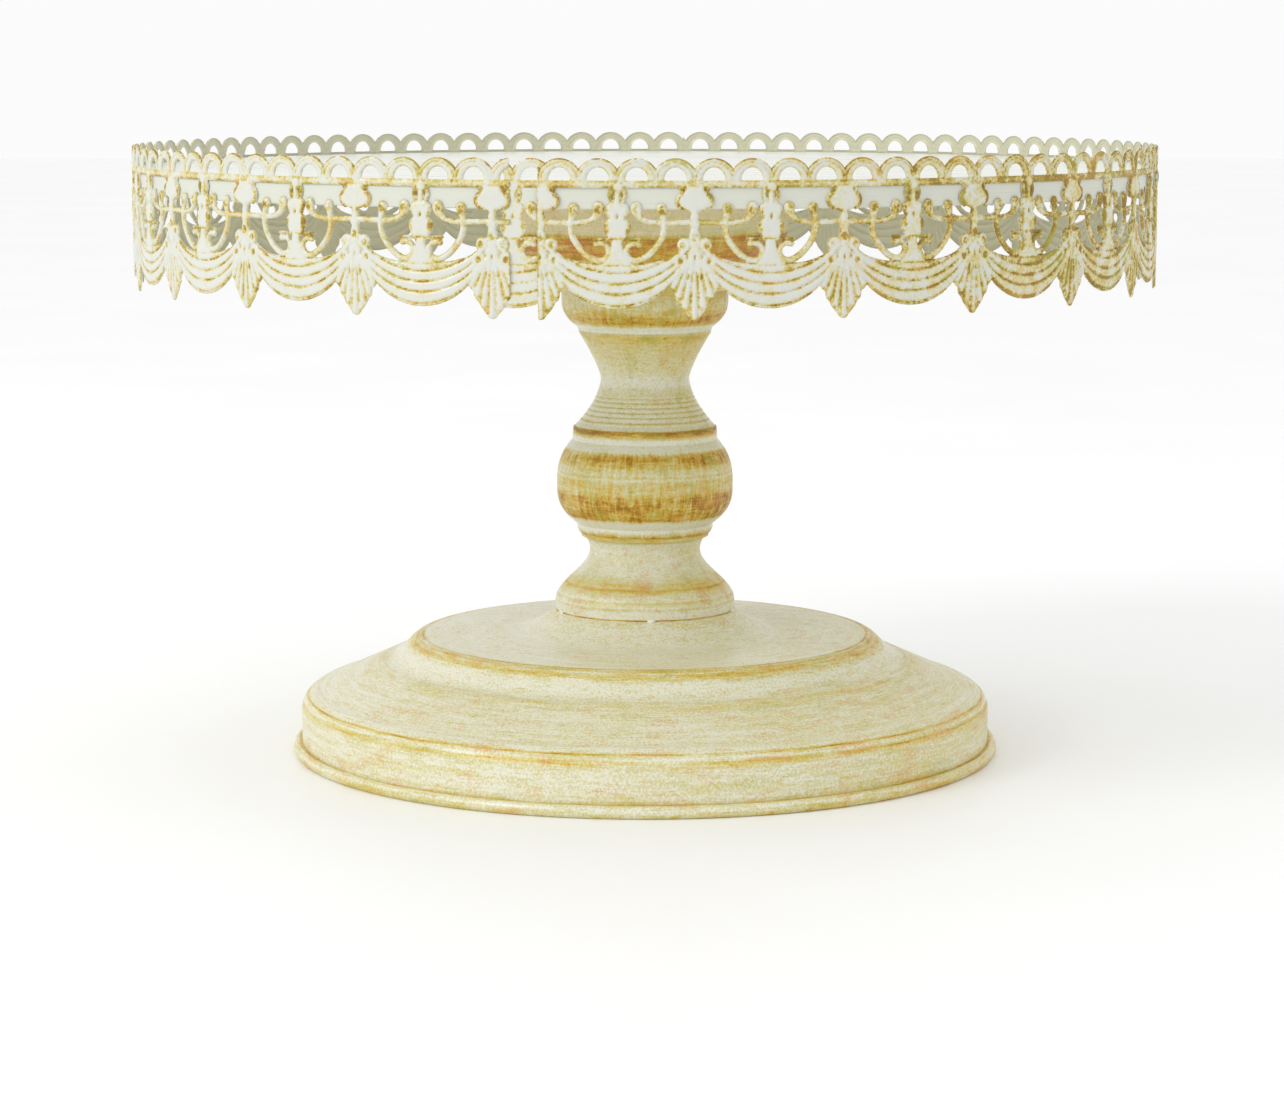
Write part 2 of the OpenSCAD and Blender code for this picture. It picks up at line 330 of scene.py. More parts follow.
def round_axis(shader, turns, across):
    """A place for noise that runs round the axis: slow along a ring, and `across` (a socket) over it."""
    flat = shader.vector("MULTIPLY", geometry(shader), (1, 1, 0))
    ring = shader.vector("MULTIPLY", shader.vector("NORMALIZE", flat), (turns, turns, 0))
    up = shader.node("CombineXYZ", 0, 0, across).outputs[0]
    return shader.vector("ADD", ring, up)


def place_along(shader, flat_too):
    """Height in mm. With flat_too it is radius less height, which also grows over flat rings."""
    position = geometry(shader)
    height = shader.node("SeparateXYZ", position).outputs[2]
    if not flat_too:
        return shader.math("MULTIPLY", height, 1 / MM)
    flat = shader.vector("MULTIPLY", position, (1, 1, 0))
    radius = shader.node("VectorMath", flat, operation="LENGTH").outputs["Value"]
    return shader.math("MULTIPLY", shader.math("SUBTRACT", radius, height), 1 / MM)


def streaks(shader, along, turns, per_mm, reach, detail=3.0, roughness=0.6):
    """Noise drawn out round the axis (few turns, many per mm) or up the piece, from -reach to reach."""
    place = round_axis(shader, turns, shader.math("MULTIPLY", along, per_mm))
    noise = shader.noise(place, 1.0, detail, roughness)
    return shader.scaled(noise, 0.28, 0.72, -reach, reach)


def total(shader, *values):
    out = values[0]
    for value in values[1:]:
        out = shader.math("ADD", out, value)
    return out


def banded(shader, along, stops, ragged, calm):
    """The amount of glaze along the piece, read from its stops. ragged shifts the bands' edges."""
    place = along
    if ragged:
        shift = shader.math("MULTIPLY", calm, streaks(shader, along, 24.0, 0.1, ragged))
        place = shader.math("ADD", along, shift)
    low, high = stops[0][0], stops[-1][0]
    spot = shader.scaled(place, low, high)
    return shader.ramp(spot, [((at - low) / (high - low), value) for at, value in stops])


def heavier_right(shader):
    """A little more glaze on the right side of the piece."""
    flat = shader.vector("MULTIPLY", geometry(shader), (1, 1, 0))
    sideways = shader.node("SeparateXYZ", shader.vector("NORMALIZE", flat)).outputs[0]
    return shader.scaled(sideways, 0.2, 0.8, 0.0, 0.1)


def speckles(shader, along, grain, turns, dashes, stipple):
    """Dots, pores and short dashes of glaze."""
    dots = shader.scaled(grain, 0.35, 0.68, -stipple, stipple)
    pores = shader.scaled(shader.noise(geometry(shader), PORES, 3.0, 0.7), 0.6, 0.72, 0.0, stipple)
    place = round_axis(shader, turns * 2.2, shader.math("MULTIPLY", along, 1.1))
    dash = shader.scaled(shader.noise(place, 1.0, 3.0, 0.6), 0.6, 0.74, 0.0, dashes)
    return total(shader, dots, pores, dash)


def brush_marks(shader, along, amount, brushed, calm):
    """Strokes that run up the piece, stronger where there is more glaze."""
    wide = streaks(shader, along, 20.0, 0.16, brushed)
    marks = total(shader, wide, streaks(shader, along, 55.0, 0.3, 0.14))
    marks = shader.math("MULTIPLY", marks, calm)
    return shader.math("MULTIPLY", marks, shader.math("ADD", amount, 0.1))


def tinted(shader, along, glaze, turns, orange, olive, bare):
    """The glaze's colour by its amount, with orange and olive patches."""
    colour = shader.ramp(glaze, [(0.0, bare), (0.25, STRAW), (0.5, GOLD), (0.76, OCHRE), (1.0, UMBER)])
    place = round_axis(shader, turns * 0.9, shader.math("MULTIPLY", along, 0.16))
    tint = shader.noise(place, 1.0, 5.0, 0.65)
    wet = shader.math("POWER", glaze, 0.6)
    warm = shader.math("MULTIPLY", shader.scaled(tint, 0.52, 0.64, 0.0, orange), wet)
    colour = shader.mix(warm, colour, ORANGE)
    green = shader.math("MULTIPLY", shader.scaled(tint, 0.48, 0.36, 0.0, olive), wet)
    return shader.mix(green, colour, OLIVE)


def glazed(name, stops, flat_too=False, turns=5.0, uneven=0.5, ragged=0.0, brushed=0.0, dashes=0.2,
           stipple=0.1, orange=0.35, olive=0.6, rust=0.0, bare=CREAM, calm_above=200.0):
    """Enamel with glaze wiped over it. stops are (place in mm, amount of glaze); the foot's first stops
    paint shade at its joint with the base.
    """
    shader = Shader(name, IOR=1.5)
    along = place_along(shader, flat_too)
    calm = shader.scaled(along, calm_above - 1, calm_above, 1.0, 0.0)
    amount = banded(shader, along, stops, ragged, calm)

    thin = streaks(shader, along, turns, 1.3, 0.5, 4.0)
    broad = streaks(shader, along, turns * 0.4, 0.3, 0.45)
    swing = shader.math("MULTIPLY", shader.math("ADD", thin, broad), shader.math("ADD", amount, 0.16))
    swing = shader.math("MULTIPLY", swing, uneven)
    grain = shader.noise(geometry(shader), GLAZE_GRAIN, 2.0)
    specks = speckles(shader, along, grain, turns, dashes, stipple)
    glaze = total(shader, amount, swing, specks, heavier_right(shader))
    if brushed:
        glaze = shader.math("ADD", glaze, brush_marks(shader, along, amount, brushed, calm))
    glaze = shader.math("ADD", glaze, 0.0, clamp=True)

    colour = tinted(shader, along, glaze, turns, orange, olive, bare)
    if rust:
        patches = shader.scaled(streaks(shader, along, 3.5, 0.5, 1.0, 5.0, 0.75), -0.1, 0.45, 0.0, rust)
        patches = shader.math("MULTIPLY", patches, shader.scaled(amount, 0.55, 0.75))
        colour = shader.mix(patches, colour, RUST)
    rough = shader.scaled(glaze, 0.0, 1.0, 0.3, 0.5)
    relief = total(shader, shader.math("MULTIPLY", thin, 0.6), shader.math("MULTIPLY", grain, 0.15))
    return shader.finish(colour, rough, shader.bump(relief, FINE_BUMP, 0.4))


def plate_enamel():
    """White enamel with faint rings and clouds, a little greyer on the flange."""
    shader = Shader("plate_enamel", IOR=1.5)
    along = place_along(shader, True)
    rings = streaks(shader, along, 1.2, 0.9, 0.5)
    cloud = shader.noise(geometry(shader), 30.0, 3.0)
    blend = shader.math("ADD", shader.math("MULTIPLY", rings, 0.4), cloud)
    edge = PLATE_R - PLATE_Z
    on_flange = shader.scaled(along, edge, edge + 1)
    colour = shader.mix(on_flange, shader.ramp(blend, PLATE_WHITES), FLANGE_WHITE)
    rough = shader.scaled(rings, -0.5, 0.5, 0.24, 0.36)
    return shader.finish(colour, rough, shader.bump(rings, 0.4 * FINE_BUMP, 0.15))


def lace_enamel():
    """White enamel with glaze where the mesh's attribute says, on the scallops' top edges partly painted
    shade; below zero it is the bare inner side.
    """
    shader = Shader("lace_enamel", IOR=1.5)
    position = geometry(shader)
    wiped = shader.node("Attribute", attribute_name="glaze", attribute_type="GEOMETRY").outputs["Fac"]
    blotch = shader.scaled(shader.noise(position, 240.0, 4.0, 0.65), 0.37, 0.63, -0.6, 0.5)
    grain = shader.noise(position, 1300.0, 3.0, 0.6)
    swing = total(shader, blotch, shader.scaled(grain, 0.35, 0.65, -0.45, 0.4))
    held = shader.math("ADD", shader.math("MAXIMUM", wiped, 0.0), 0.25)
    amount = shader.math("ADD", wiped, shader.math("MULTIPLY", swing, held))
    colour = shader.ramp(amount, LACE_GLAZES)
    hue = shader.noise(position, 95.0, 4.0)
    wet = shader.math("POWER", shader.math("MAXIMUM", amount, 0.0), 0.8)
    olive = shader.math("MULTIPLY", shader.scaled(hue, 0.48, 0.32), wet)
    colour = shader.mix(shader.math("MULTIPLY", olive, 0.75), colour, LACE_OLIVE)
    orange = shader.math("MULTIPLY", shader.scaled(hue, 0.52, 0.7), wet)
    colour = shader.mix(shader.math("MULTIPLY", orange, 0.4), colour, LACE_ORANGE)
    colour = shader.mix(shader.scaled(wiped, -0.3, -0.6), colour, INNER_WHITE)
    rough = shader.scaled(amount, 0.0, 1.0, 0.3, 0.5)
    return shader.finish(colour, rough, shader.bump(grain, FINE_BUMP, 0.5))


def rivet_painted_shade():
    """Rivets coloured near black all over: painted shade standing for the dark hollow centre of each rivet.
    """
    shader = Shader("rivet_painted_shade", IOR=1.5)
    blotch = shader.noise(geometry(shader), 700.0, 4.0, 0.6)
    rough = shader.scaled(blotch, 0.3, 0.7, 0.4, 0.6)
    return shader.finish(shader.ramp(blotch, RIVET_SHADE_BROWNS), rough, shader.bump(blotch, FINE_BUMP, 0.4))


def zinc_steel():
    """Zinc-plated steel, slightly scratched along the axis."""
    shader = Shader("zinc_steel", Metallic=1.0)
    position = geometry(shader)
    blotch = shader.noise(position, 220.0, 4.0, 0.6)
    scratch = shader.noise(shader.vector("MULTIPLY", position, (900, 900, 90)), 1.0, 2.0)
    rough = shader.scaled(scratch, 0.3, 0.7, 0.28, 0.5)
    normal = shader.bump(scratch, 0.6 * FINE_BUMP, 0.5)
    return shader.finish(shader.ramp(blotch, STEEL_GREYS), rough, normal)


def dress(piece, material):
    piece.data.materials.clear()
    piece.data.materials.append(material)


# ---- stem and base -----------------------------------------------------------

# Where the glaze lies, as (place in mm, amount). On the base the place is radius less height, and on the
# other pieces it is the height. On the foot the first stops, 42.6 to 43.1 mm, are painted shade instead:
# a dark line for the gap where the foot meets the base.
BASE_STOPS = [(-16, 0.2), (-10, 0.1), (0, 0.04), (12, 0.1), (25, 0.08), (31.6, 0.1), (32.5, 0.7),
              (33.2, 0.25), (34.3, 0.5), (35.4, 0.34), (37.5, 0.5), (39.5, 0.22), (41.5, 0.04),
              (46, 0.04), (50, 0.14), (54, 0.24), (60, 0.14), (75, 0.14), (82, 0.1), (84.5, 0.2),
              (85.3, 0.75), (86.0, 0.3), (87.5, 0.1), (88.8, 0.45), (90.2, 0.28), (92, 0.16),
              (99, 0.14), (100.8, 0.24), (101.6, 0.7), (102.2, 0.25), (104.6, 0.14), (106, 0.35)]
# 42.6 to 43.1 mm: painted shade, a thin dark line for the gap where the foot sits on the base.
FOOT_GLAZE_AND_GAP_SHADE = [(42.6, 1.0), (42.9, 0.8), (43.1, 0.04), (45, 0.05), (45.9, 0.3), (46.4, 0.1),
              (47.8, 0.34), (48.3, 0.1), (50.6, 0.36), (51.2, 0.62), (51.8, 0.36), (52.5, 0.4),
              (55, 0.12), (58, 0.1), (61, 0.14), (64, 0.05), (65.4, 0.45), (66.2, 0.5), (66.5, 0.9)]
BULB_STOPS = [(66.5, 0.8), (67.3, 0.3), (68.4, 0.04), (70.8, 0.0), (71.6, 0.12), (72.2, 0.66),
              (76.5, 0.8), (79.2, 0.66), (80.4, 0.36), (83.8, 0.42), (84.6, 0.16), (85.3, 0.38),
              (86, 0.2), (87.6, 0.4), (88.8, 0.62), (90.8, 0.72), (91.8, 0.5), (92.5, 0.06),
              (95.8, 0.0), (96.6, 0.4), (97.2, 0.75), (98.0, 1.0), (98.4, 1.0)]
NECK_STOPS = [(98.4, 0.9), (98.9, 0.1), (100.2, 0.02), (100.8, 0.4), (101.1, 0.06), (102.0, 0.08),
              (102.3, 0.42), (102.6, 0.08), (103.4, 0.08), (103.7, 0.42), (104, 0.08), (104.8, 0.1),
              (105.1, 0.36), (105.4, 0.1), (106.2, 0.12), (106.5, 0.4), (106.8, 0.14), (108, 0.2),
              (110, 0.16), (112, 0.0), (115.5, 0.18), (119, 0.26), (124, 0.34), (126.6, 0.48),
              (127.7, 0.26)]
CUP_STOPS = [(127.7, 0.03), (129.4, 0.0), (130.2, 0.45), (131, 0.72), (133.5, 0.56), (136, 0.3),
             (139.5, 0.4)]
BOWL_STOPS = [(139.5, 0.4), (146, 0.42), (149.5, 0.56), (151, 0.76), (157, 0.76), (158.3, 0.2),
              (164, 0.14), (167, 0.16), (170, 0.12), (176, 0.05)]

HEM_D = 3.8
HEM_Z = HEM_D / 2 - 0.1
HEM_MID = HEM_R - HEM_D / 2
SKIRT_R = HEM_R - 2.6
BASE_SHEET = 1.0

BASE_KEYS = [
    (FOOT_R, SEAT_Z), (30.3, 40.4, "out", 1.8), (41, 36), (67, 35.3, "in", 2.2), (72.2, 32.6),
    (75, 30, "out", 1.8), (80, 27.6), (99.2, 19.1, "in", 2), (103.9, 16.2), (SKIRT_R, 14), (SKIRT_R, HEM_Z)
]


def make_base():
    """The spun base: its outside, the hem rolled under, and the inside back up to the hole for the rod."""
    outer = dense(swapped(turned(swapped(BASE_KEYS), 16)), 0.7)
    inner = [q for q in beside(outer, BASE_SHEET) if HEM_Z < q[1] < SEAT_Z - BASE_SHEET]
    curl = [(HEM_MID + HEM_D / 2 * math.sin(a), max(0.0, HEM_Z + HEM_D / 2 * math.cos(a)))
            for a in np.radians(np.arange(-60, 270, 9))]
    outer = [q for q in outer if q[1] > curl[0][1]]
    inner = [q for q in inner if q[1] > curl[-1][1] + 0.3]
    outline = [(ROD_HOLE, SEAT_Z - BASE_SHEET), (ROD_HOLE, SEAT_Z)] + outer + curl + inner[::-1]
    piece = lathe("base_shell_spun", outline, 320, 0.08)
    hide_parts("base_shell")
    enamel = glazed("base_enamel", BASE_STOPS, flat_too=True, turns=9.0, uneven=0.8, dashes=0.3,
                    stipple=0.16, orange=0.7)
    dress(piece, enamel)


LATHE_LINES = (99.5, 108)  # heights between which the neck has fine rings


def lathe_lines(z):
    """Depth of the fine rings left by the lathe on the neck."""
    if not LATHE_LINES[0] < z < LATHE_LINES[1]:
        return 0.0
    return 0.16 * (1 + math.cos(2 * math.pi * z / 1.35)) / 2


def make_stem():
    foot = spun_section("stem_foot_spun", "stem_foot", [
        (FOOT_R, SEAT_Z), (FOOT_R, 45.4, "s"), (16.8, 61, "in", 2), (18, 64.6), (19.3, 65.2), (19.6, BULB_Z)
    ])
    enamel = glazed("foot_enamel", FOOT_GLAZE_AND_GAP_SHADE, turns=4.0, uneven=0.55, dashes=0.25, orange=0.9)
    dress(foot, enamel)
    bulb = spun_section("stem_bulb_spun", "stem_bulb", [
        (20, BULB_Z), (20.6, 67.6), (20.6, 69, "out", 2.5), (26.7, 80), (26.7, 82, "in", 2.4), (22, 94.6),
        (21.7, NECK_Z)
    ])
    enamel = glazed("bulb_glaze", BULB_STOPS, ragged=0.35, brushed=0.4, orange=0.55, calm_above=95.5)
    dress(bulb, enamel)
    neck = spun_section("stem_neck_spun", "stem_neck", [
        (21.5, NECK_Z, "out", 1.7), (13.4, 113.2, "in", 1.3), (20, 127), (20, CUP_Z)
    ], lathe_lines)
    enamel = glazed("neck_enamel", NECK_STOPS, turns=4.0, uneven=0.4, dashes=0.4, orange=0.5, olive=0.9)
    dress(neck, enamel)
    cup = spun_section("stem_cup_spun", "stem_cup", [
        (20.2, CUP_Z), (20.4, 128.6, "out", 2.5), (25.2, 137), (25.2, BOWL_Z)
    ])
    enamel = glazed("cup_glaze", CUP_STOPS, ragged=0.3, brushed=0.3, orange=0.35, olive=0.8)
    dress(cup, enamel)


WELD_AZIMUTHS = (4, 76, 148, 220, 292)


def make_welds():
    """Small smeared lumps of weld between the stem's foot and the base."""
    rows, columns = 9, 14
    u, v = np.meshgrid(np.linspace(-1, 1, columns), np.linspace(-1, 1, rows), indexing="ij")
    points, faces = [], []
    for number, azimuth in enumerate(WELD_AZIMUTHS):
        lumpy = 1 + 0.25 * np.sin(5 * u + number) * np.cos(4 * v)
        swell = np.clip(1 - u ** 2 - v ** 2, 0, 1) ** 0.6 * lumpy
        radius = FOOT_R - 0.35 + 1.3 * swell / 1.25 - 0.6 * (swell == 0)
        angle = math.radians(azimuth) + 1.5 * u / FOOT_R
        z = SEAT_Z - 0.1 + 1.3 * v + 0.2 * np.sin(3 * u + 2 * number)
        first = sum(len(p) for p in points)
        points.append(np.stack([radius * np.sin(angle), -radius * np.cos(angle), z], -1).reshape(-1, 3))
        i, j = np.meshgrid(np.arange(columns - 1), np.arange(rows - 1), indexing="ij")
        corner = (first + i * rows + j).ravel()
        faces += np.stack([corner, corner + rows, corner + rows + 1, corner + 1], -1).tolist()
    piece = new_object("foot_welds_smeared", np.vstack(points), faces, 80)
    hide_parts("foot_welds")
    dress(piece, bpy.data.materials["base_enamel"])


def make_bowl():
    keys = [(BOWL_R, PLATE_Z - PLATE_SHEET), (BOWL_R, 158, "in", 2), (38.8, 149.7, "in", 1.6),
            (25.2, BOWL_Z)]
    outer = dense(turned(keys), 0.7)
    inner = [q for q in beside(outer, SHEET) if q[1] > BOWL_Z + SHEET]
    outline = outer + [(ROD_HOLE, BOWL_Z), (ROD_HOLE, BOWL_Z + SHEET)] + inner[::-1]
    piece = lathe("bowl_spun", outline[::-1], 240, 0.08)
    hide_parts("bowl")
    enamel = glazed("bowl_glaze", BOWL_STOPS, turns=4.0, ragged=0.3, brushed=0.15, orange=0.7, olive=0.2,
                    rust=0.85, bare=WARM_CREAM)
    dress(piece, enamel)


PLATE_BEND = 1.6  # radius of the bend between the plate's top and its flange
PLATE_CENTRE = 0.5
GROOVES = (139.2, 146.4)
TOP_RINGS = (PLATE_CENTRE, 20, 40, 60, 80, 100, 120, 130, 138.8, 139.2, 139.6, 146, 146.4, 146.8, 148)


def make_plate():
    """The plate: a flat top with two shallow grooves, a bend, the flange and the underside."""
    rings = [(r, PLATE_Z - (0.12 if r in GROOVES else 0.0)) for r in TOP_RINGS]
    edge = [(PLATE_R - PLATE_BEND * (1 - math.sin(a)), PLATE_Z - PLATE_BEND * (1 - math.cos(a)))
            for a in np.radians(range(0, 91, 9))]
    inside = PLATE_R - PLATE_SHEET
    wall = [(PLATE_R, FLANGE_Z + 0.3), (PLATE_R - 0.3, FLANGE_Z), (inside + 0.1, FLANGE_Z),
            (inside, FLANGE_Z + 0.3)]
    below = PLATE_Z - PLATE_SHEET
    under = [(inside, below - 0.8), (inside - 0.8, below), (100, below), (PLATE_CENTRE, below)]
    piece = lathe("plate_spun", rings + edge + wall + under, 360)
    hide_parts("plate")
    dress(piece, plate_enamel())


# ---- lace --------------------------------------------------------------------

PITCH = 40.19
HALF = PITCH / 2
CELLS = 100  # mesh cells along one repeat
CELL = PITCH / CELLS
CURVE_STEPS = 6
FAR = 9.0  # a distance to start from, larger than any that matters
DEGREE = math.radians(1) * LACE_R  # millimetres of lace in one degree


def smooth_path(points):
    """Points joined by a Catmull-Rom curve; each point is (x, z, half width)."""
    p = np.array(points, float)
    p = np.vstack([2 * p[0] - p[1], p, 2 * p[-1] - p[-2]])
    out = []
    for a, b, c, d in zip(p, p[1:], p[2:], p[3:]):
        for t in np.arange(CURVE_STEPS) / CURVE_STEPS:
            out.append(0.5 * (2 * b + (c - a) * t + (2 * a - 5 * b + 4 * c - d) * t * t
                              + (3 * b - a - 3 * c + d) * t ** 3))
    return np.array(out + [p[-2]])


class Pattern:
    """One repeat of the lace on a grid: the distance to its outline, its relief and its glaze."""

    def __init__(self, x, z):
        self.x, self.z = x, z
        self.outline = np.full(x.shape, FAR)
        self.relief = np.zeros(x.shape)
        self.glaze = np.zeros(x.shape)
        self.beside_hole = np.zeros(x.shape, bool)

    def disc(self, x, z, r):
        return np.hypot(self.x - x, self.z - z) - r

    def oval(self, x, z, a, b):
        return (np.hypot((self.x - x) / a, (self.z - z) / b) - 1) * min(a, b)

    def line(self, points):
        """Distance to a curved line that changes its width."""
        path = smooth_path(points)
        best = np.full(self.x.shape, FAR)
        for (x0, z0, r0), (x1, z1, r1) in zip(path, path[1:]):
            dx, dz = x1 - x0, z1 - z0
            t = np.clip(((self.x - x0) * dx + (self.z - z0) * dz) / (dx * dx + dz * dz + 1e-9), 0, 1)
            away = np.hypot(self.x - x0 - t * dx, self.z - z0 - t * dz)
            best = np.minimum(best, away - r0 - t * (r1 - r0))
        return best

    def area(self, points):
        """Distance to a polygon, negative inside."""
        p = np.array(points, float)
        best = np.full(self.x.shape, FAR)
        inside = np.zeros(self.x.shape, bool)
        for (x0, z0), (x1, z1) in zip(p, np.roll(p, -1, 0)):
            dx, dz = x1 - x0, z1 - z0
            t = np.clip(((self.x - x0) * dx + (self.z - z0) * dz) / (dx * dx + dz * dz), 0, 1)
            best = np.minimum(best, np.hypot(self.x - x0 - t * dx, self.z - z0 - t * dz))
            crosses = (z0 > self.z) != (z1 > self.z)
            with np.errstate(divide="ignore", invalid="ignore"):
                inside ^= crosses & (self.x < x0 + (self.z - z0) * dx / dz)
        return np.where(inside, -best, best)

    def add(self, shape, round_over, height, glaze=0.0):
        """Metal raised in a dome over a shape. Where it stands above the rest, its own glaze shows."""
        self.outline = np.minimum(self.outline, shape)
        depth = np.clip(-shape / round_over, 0, 1)
        dome = height * np.sqrt(1 - (1 - depth) ** 2)
        wins = (dome > self.relief) & (shape < 0)
        wiped = np.clip(1.0 - 1.1 * np.sqrt(1 - (1 - depth) ** 2), 0, 1)
        self.glaze = np.where(wins, np.maximum(wiped, glaze), self.glaze)
        self.relief = np.maximum(self.relief, dome)

    def pit(self, shape, depth):
        """A small dent that holds glaze."""
        inside = np.clip(-shape / 0.35, 0, 1)
        self.relief *= 1 - depth * inside
        self.glaze = np.maximum(self.glaze, inside)

    def fill(self, shape, glaze):
        """Glaze spread over a shape, with no change of relief."""
        inside = np.clip(-shape / 0.2, 0, 1)
        self.glaze += (glaze - self.glaze) * inside

    def cut(self, shape):
        self.outline = np.maximum(self.outline, -shape)


def both(points):
    """The points, and the same mirrored."""
    return [points, [(-p[0],) + tuple(p[1:]) for p in points]]


def mirrored(half):
    """A closed outline from its right half."""
    return half + [(-x, z) for x, z in half[::-1]]


def moved(points, at):
    """The points, moved sideways by `at`."""
    return [(at + p[0],) + tuple(p[1:]) for p in points]


def arc_height(x, centre, radius):
    """Height of a hanging arc with its middle at `centre` above x = 0."""
    return centre + radius - np.sqrt(np.maximum(radius ** 2 - x ** 2, 0.01))


def add_swag(pattern):
    """Four ropes that hang between two drops, with glaze in the grooves."""
    x, z = pattern.x, pattern.z
    lines = [arc_height(x, 153.95, 26.0), arc_height(x, 151.2, 23.6), arc_height(x, 148.5, 21.6),
             arc_height(x, 145.5, 19.9), arc_height(x, 144.7, 18.6)]
    top = np.maximum(156.2 + 2.8 * (np.abs(x) / 15.5) ** 3, lines[0])
    shape = np.maximum(np.maximum(lines[4] - z, z - top) * 0.85, np.abs(x) - 18.6)
    far = np.clip((19.5 - np.abs(x)) / 6, 0.45, 1)
    grooves = np.zeros(x.shape)
    for line in lines[:4]:
        grooves = np.maximum(grooves, np.exp(-((z - line) / (0.33 * far)) ** 2))
    inside = shape < 0
    pattern.outline = np.minimum(pattern.outline, shape)
    pattern.relief = np.where(inside, 0.9 - 0.6 * grooves, pattern.relief)
    pattern.glaze = np.where(inside, 0.85 * grooves + 0.3 * (z > lines[0]) * (np.abs(x) > 3), pattern.glaze)


def add_vase(pattern):
    """The vase with its flower, between two candle arms."""
    for points in both([(1.5, 175.6, 0.55), (1.9, 174.2, 0.6), (1.5, 172.6, 0.5), (0.9, 171.6, 0.4)]):
        pattern.add(pattern.line(points), 0.6, 0.75, 0.75)
    pattern.add(pattern.area([(-0.8, 175.2), (0.8, 175.2), (0.9, 171.5), (-0.9, 171.5)]), 0.8, 0.85)
    pattern.add(pattern.disc(0.2, 176.2, 1.5), 1.2, 1.0)
    half = [(1.6, 172.2), (2.9, 171.4), (3.2, 170.2), (2.7, 168.9), (2.2, 168.0), (3.2, 167.3),
            (3.6, 166.0), (3.3, 164.6), (2.7, 163.6), (2.2, 162.8)]
    pattern.add(pattern.area(mirrored(half)), 1.0, 1.0)
    for side in (-1, 1):
        shoulder = [(side * 2.6, 170.9, 0.35), (side * 2.6, 169.8, 0.45), (side * 2.0, 168.4, 0.35)]
        belly = [(side * 2.5, 167.0, 0.5), (side * 2.8, 165.9, 0.85), (side * 2.5, 164.6, 0.5)]
        pattern.fill(pattern.line(shoulder), 0.6)
        pattern.fill(pattern.line(belly), 0.85)
        pattern.pit(pattern.oval(side * 1.4, 171.2, 0.3, 0.8), 0.4)
    pattern.pit(pattern.oval(0, 168.6, 0.5, 1.0), 0.8)
    foot = [(1.3, 162.8), (1.6, 160.9), (2.2, 158.8), (3.4, 157.2), (4.6, 155.8)]
    pattern.add(pattern.area(mirrored(foot)), 0.9, 1.0)
    pattern.add(pattern.line([(-6.2, 162.8, 0.4), (0, 162.7, 0.45), (6.2, 162.8, 0.4)]), 0.5, 0.8, 0.8)
    for side in (-1, 1):
        pattern.add(pattern.disc(side * 5.4, 161.8, 0.75), 0.6, 0.8, 0.6)


def add_arms(pattern):
    """The two candle arms, and the rod that joins them to the drops."""
    arm = [(5.5, 161.4, 0.8), (4.2, 161.6, 0.75), (2.8, 160.9, 0.7), (2.3, 159.3, 0.75),
           (3.0, 157.8, 0.8), (4.6, 157.1, 0.85), (6.4, 157.6, 0.85), (8.2, 158.8, 0.85),
           (9.9, 160.6, 0.85), (11.4, 162.8, 0.85), (12.1, 165.2, 0.85), (12.0, 167.5, 0.85),
           (11.6, 169.3, 1.05), (11.4, 170.6, 1.4)]
    rod = [(4.9, 171.0, 1.4), (5.0, 169.9, 1.35), (5.7, 168.5, 0.9), (7.3, 167.5, 0.7),
           (9.5, 167.0, 0.7), (13, 166.9, 0.7), (HALF, 167.1, 0.7)]
    for points in both(rod):
        pattern.add(pattern.line(points), 0.6, 0.8, 0.32)
    for points in both(arm):
        pattern.add(pattern.line(points), 0.75, 0.95, 0.28)
    for side in (-1, 1):
        pattern.fill(pattern.oval(side * 11.5, 170.2, 0.95, 1.5), 0.85)
        pattern.fill(pattern.oval(side * 4.9, 170.4, 0.95, 1.4), 0.85)


# Flutes as (foot x, foot z, root x), leaves as (tip x, tip z, width), lobes as (x, z, radius) and pits as
# (x, z, half width, half height, depth), all for the right half.
FLUTES = ((0, 142.8, 0), (2.3, 145.7, 0.95), (4.2, 148.3, 1.8), (5.6, 150.8, 2.6))
LEAVES = ((4.4, 154.2, 1.3), (1.4, 153.6, 0.9))
LOBES = ((2.7, 161.2, 1.9), (3.9, 157.4, 2.0))
PITS = ((1.0, 169.7, 0.4, 0.8, 0.4), (3.1, 161.2, 0.9, 1.1, 0.3), (3.7, 157.2, 0.85, 1.1, 0.4),
        (1.7, 153.4, 0.45, 1.5, 0.4))


def add_urn(pattern, at):
    """The urn with its scrolls, and the stem under it."""
    urn = [(2.4, 176.4), (2.6, 175.3), (3.4, 174.3), (4.3, 173.2), (4.5, 172.2), (3.9, 171.0),
           (2.5, 170.2), (1.1, 169.7)]
    pattern.add(pattern.area(moved(mirrored(urn), at)), 1.2, 0.85)
    scroll = [(3.2, 174.2, 0.4), (4.1, 173.8, 0.5), (4.5, 172.6, 0.55), (4.2, 171.3, 0.5),
              (3.2, 170.4, 0.45)]
    for points in both(scroll) + both([(2.5, 176.2, 0.4), (3.5, 175.7, 0.5), (3.1, 174.8, 0.4)]):
        pattern.add(pattern.line(moved(points, at)), 0.55, 0.9, 0.85)
    stem = [(0, 171, 1.4), (0, 169.5, 0.9), (0, 168.3, 1.2), (0, 167.4, 1.0), (0, 166.4, 1.3),
            (0, 165.0, 1.1), (0, 163.8, 1.4), (0, 161.5, 1.4)]
    pattern.add(pattern.line(moved(stem, at)), 0.9, 0.95, 0.05)


